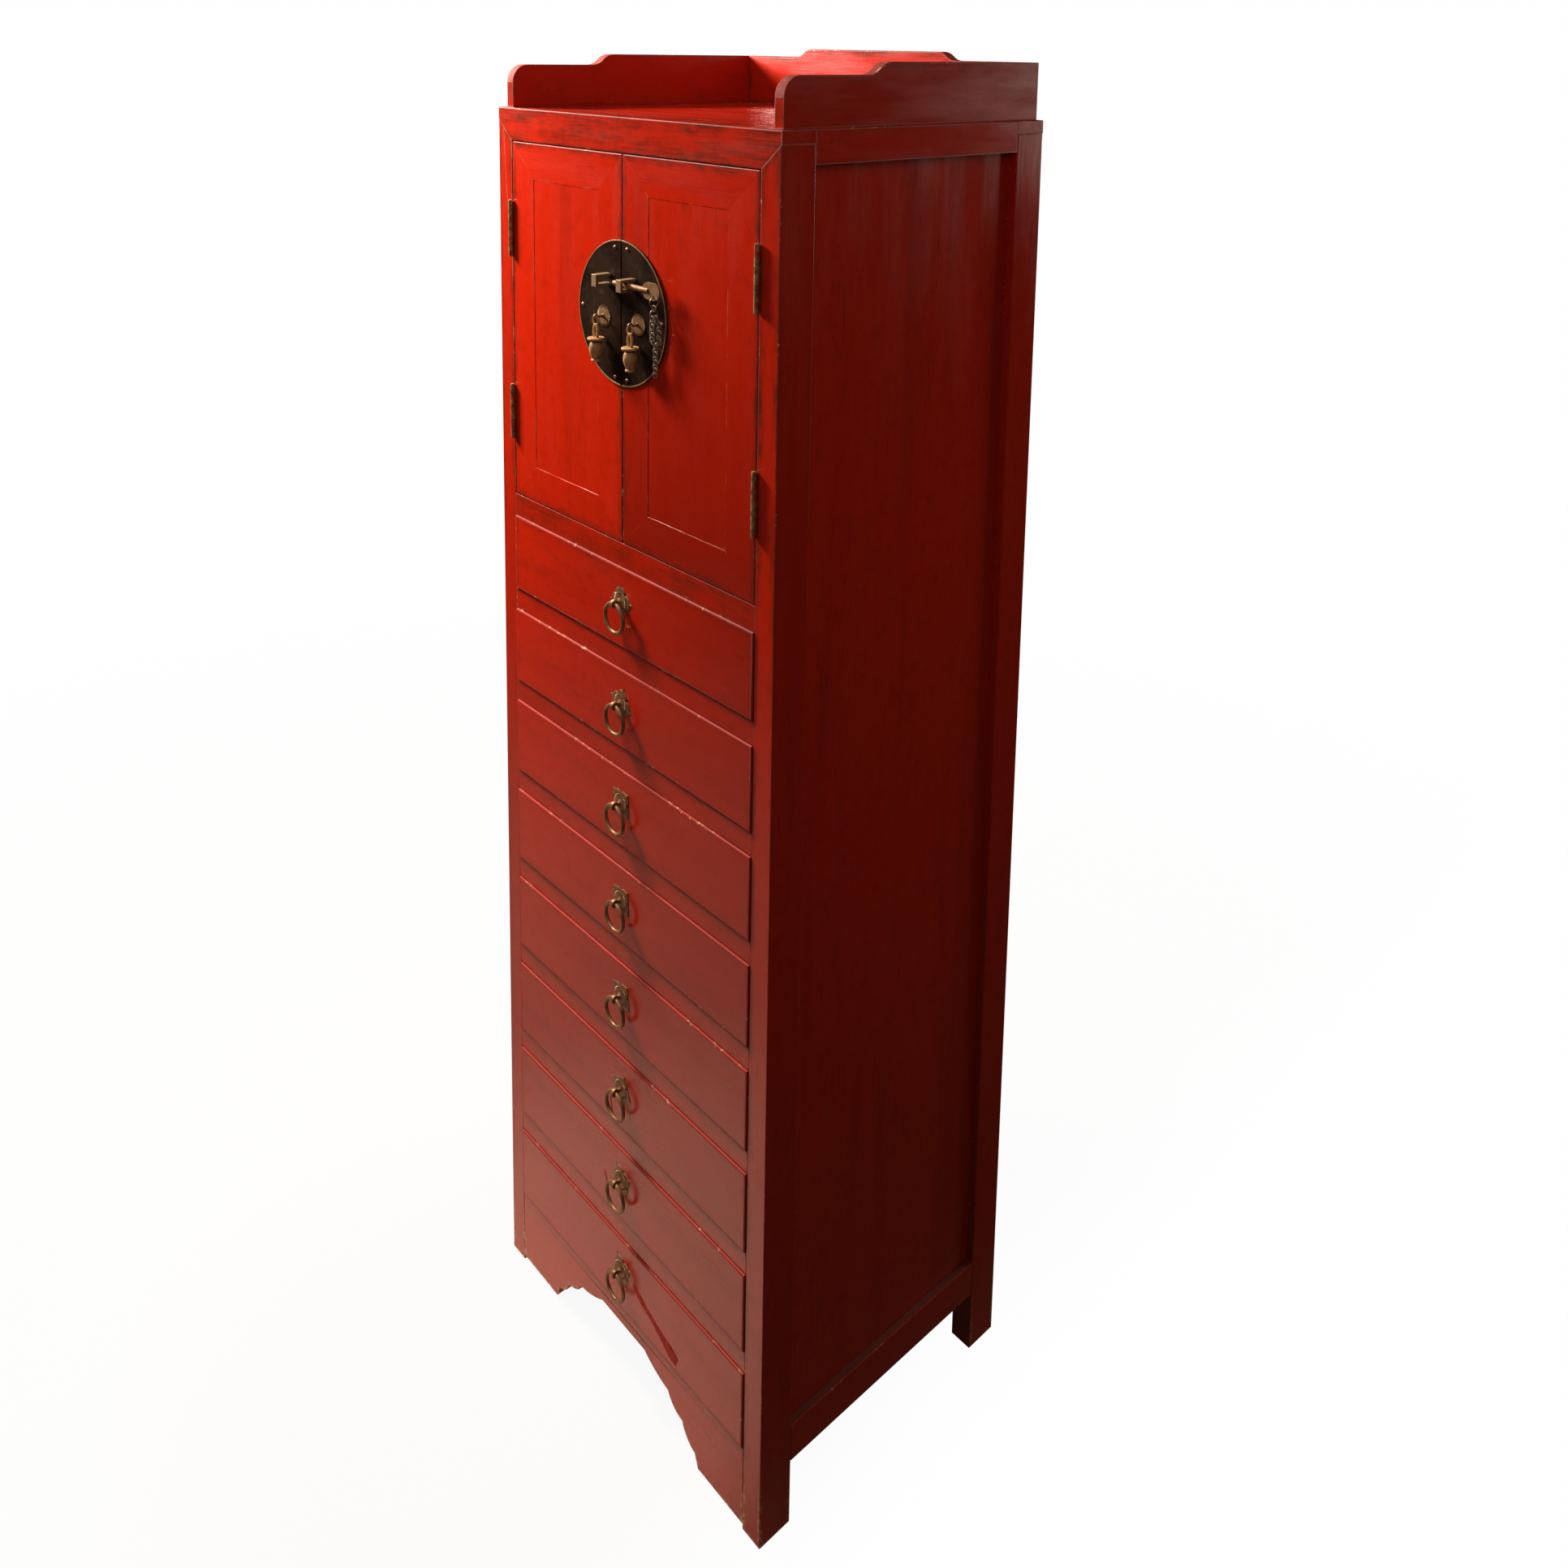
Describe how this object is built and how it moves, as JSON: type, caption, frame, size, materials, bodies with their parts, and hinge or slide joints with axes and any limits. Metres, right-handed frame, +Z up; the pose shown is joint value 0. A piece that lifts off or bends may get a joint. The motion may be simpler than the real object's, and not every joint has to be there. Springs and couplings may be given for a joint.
{
  "type": "lacquered cabinet with doors and drawers",
  "caption": "Tall narrow red lacquered wooden cabinet: hinged cupboard doors with a round bronze lock plate over a stack of drawers with ring pulls, gallery on top.",
  "frame": {"origin": "on the floor, under the middle of the whole box of the cabinet", "axes": "+Z up, the doors and drawers face -Y, +X is the viewer's right"},
  "size_m": [0.5, 0.412, 1.595],
  "materials": {
    "red_lacquer": "worn semi-gloss red lacquer over wood",
    "bare_wood": "plain unlacquered softwood",
    "antique_brass": "aged brass",
    "dark_bronze": "dark patinated bronze"
  },
  "bodies": {
    "carcase": {"front_left_post": "red_lacquer", "front_right_post": "red_lacquer", "back_left_post": "red_lacquer", "back_right_post": "red_lacquer", "top_frame": "red_lacquer", "top_panel": "red_lacquer", "gallery_sides": "red_lacquer", "gallery_back": "red_lacquer", "side_panels": "red_lacquer", "bottom_rails": "red_lacquer", "back_panel": "bare_wood", "front_apron": "red_lacquer", "drawer_rails": "red_lacquer", "cupboard_floor": "bare_wood", "drawer_runners": "bare_wood", "hinge_frame_leaves": "antique_brass"},
    "left_door": {"left_door_frame": "red_lacquer", "left_door_panel": "red_lacquer", "left_lock_plate": "dark_bronze", "left_hinge_leaves": "antique_brass"},
    "right_door": {"right_door_frame": "red_lacquer", "right_door_panel": "red_lacquer", "right_lock_plate": "dark_bronze", "right_hinge_leaves": "antique_brass"},
    "left_pendant": {"left_pendant": "antique_brass"},
    "right_pendant": {"right_pendant": "antique_brass"},
    "lock_bar": {"lock_bar": "antique_brass"},
    "lock_chain": {"lock_chain": "antique_brass"},
    "drawer_1": {"drawer_1_front": "red_lacquer", "drawer_1_box": "bare_wood", "drawer_1_pull": "antique_brass"},
    "ring_1": {"drawer_1_ring": "antique_brass"},
    "drawer_2": {"drawer_2_front": "red_lacquer", "drawer_2_box": "bare_wood", "drawer_2_pull": "antique_brass"},
    "ring_2": {"drawer_2_ring": "antique_brass"},
    "drawer_3": {"drawer_3_front": "red_lacquer", "drawer_3_box": "bare_wood", "drawer_3_pull": "antique_brass"},
    "ring_3": {"drawer_3_ring": "antique_brass"},
    "drawer_4": {"drawer_4_front": "red_lacquer", "drawer_4_box": "bare_wood", "drawer_4_pull": "antique_brass"},
    "ring_4": {"drawer_4_ring": "antique_brass"},
    "drawer_5": {"drawer_5_front": "red_lacquer", "drawer_5_box": "bare_wood", "drawer_5_pull": "antique_brass"},
    "ring_5": {"drawer_5_ring": "antique_brass"},
    "drawer_6": {"drawer_6_front": "red_lacquer", "drawer_6_box": "bare_wood", "drawer_6_pull": "antique_brass"},
    "ring_6": {"drawer_6_ring": "antique_brass"},
    "drawer_7": {"drawer_7_front": "red_lacquer", "drawer_7_box": "bare_wood", "drawer_7_pull": "antique_brass"},
    "ring_7": {"drawer_7_ring": "antique_brass"},
    "drawer_8": {"drawer_8_front": "red_lacquer", "drawer_8_box": "bare_wood", "drawer_8_pull": "antique_brass"},
    "ring_8": {"drawer_8_ring": "antique_brass"}
  },
  "joints": [
    {"name": "left_door_hinge", "type": "hinge", "parent": "carcase", "child": "left_door", "pos_m": [-0.221, -0.1871, 1.27], "axis": [0, 0, -1], "range_deg": [0, 160]},
    {"name": "right_door_hinge", "type": "hinge", "parent": "carcase", "child": "right_door", "pos_m": [0.221, -0.1871, 1.27], "axis": [0, 0, 1], "range_deg": [0, 160]},
    {"name": "left_pendant_swing", "type": "hinge", "parent": "left_door", "child": "left_pendant", "pos_m": [-0.0315, -0.1965, 1.305], "axis": [-1, 0, 0], "range_deg": [0, 80]},
    {"name": "right_pendant_swing", "type": "hinge", "parent": "right_door", "child": "right_pendant", "pos_m": [0.0315, -0.1965, 1.305], "axis": [-1, 0, 0], "range_deg": [0, 80]},
    {"name": "lock_bar_slide", "type": "slide", "parent": "right_door", "child": "lock_bar", "axis": [1, 0, 0], "range_m": [-0.025, 0.018]},
    {"name": "chain_swing", "type": "hinge", "parent": "lock_bar", "child": "lock_chain", "pos_m": [0.0717, -0.1955, 1.3415], "axis": [0, 1, 0], "range_deg": [-50, 15]},
    {"name": "drawer_1_slide", "type": "slide", "parent": "carcase", "child": "drawer_1", "axis": [0, -1, 0], "range_m": [0, 0.26]},
    {"name": "ring_1_swing", "type": "hinge", "parent": "drawer_1", "child": "ring_1", "pos_m": [0, -0.1955, 0.9886], "axis": [-1, 0, 0], "range_deg": [0, 85]},
    {"name": "drawer_2_slide", "type": "slide", "parent": "carcase", "child": "drawer_2", "axis": [0, -1, 0], "range_m": [0, 0.26]},
    {"name": "ring_2_swing", "type": "hinge", "parent": "drawer_2", "child": "ring_2", "pos_m": [0, -0.1955, 0.8694], "axis": [-1, 0, 0], "range_deg": [0, 85]},
    {"name": "drawer_3_slide", "type": "slide", "parent": "carcase", "child": "drawer_3", "axis": [0, -1, 0], "range_m": [0, 0.26]},
    {"name": "ring_3_swing", "type": "hinge", "parent": "drawer_3", "child": "ring_3", "pos_m": [0, -0.1955, 0.7502], "axis": [-1, 0, 0], "range_deg": [0, 85]},
    {"name": "drawer_4_slide", "type": "slide", "parent": "carcase", "child": "drawer_4", "axis": [0, -1, 0], "range_m": [0, 0.26]},
    {"name": "ring_4_swing", "type": "hinge", "parent": "drawer_4", "child": "ring_4", "pos_m": [0, -0.1955, 0.631], "axis": [-1, 0, 0], "range_deg": [0, 85]},
    {"name": "drawer_5_slide", "type": "slide", "parent": "carcase", "child": "drawer_5", "axis": [0, -1, 0], "range_m": [0, 0.26]},
    {"name": "ring_5_swing", "type": "hinge", "parent": "drawer_5", "child": "ring_5", "pos_m": [0, -0.1955, 0.5118], "axis": [-1, 0, 0], "range_deg": [0, 85]},
    {"name": "drawer_6_slide", "type": "slide", "parent": "carcase", "child": "drawer_6", "axis": [0, -1, 0], "range_m": [0, 0.26]},
    {"name": "ring_6_swing", "type": "hinge", "parent": "drawer_6", "child": "ring_6", "pos_m": [0, -0.1955, 0.3926], "axis": [-1, 0, 0], "range_deg": [0, 85]},
    {"name": "drawer_7_slide", "type": "slide", "parent": "carcase", "child": "drawer_7", "axis": [0, -1, 0], "range_m": [0, 0.26]},
    {"name": "ring_7_swing", "type": "hinge", "parent": "drawer_7", "child": "ring_7", "pos_m": [0, -0.1955, 0.2734], "axis": [-1, 0, 0], "range_deg": [0, 85]},
    {"name": "drawer_8_slide", "type": "slide", "parent": "carcase", "child": "drawer_8", "axis": [0, -1, 0], "range_m": [0, 0.26]},
    {"name": "ring_8_swing", "type": "hinge", "parent": "drawer_8", "child": "ring_8", "pos_m": [0, -0.1955, 0.1542], "axis": [-1, 0, 0], "range_deg": [0, 85]}
  ]
}
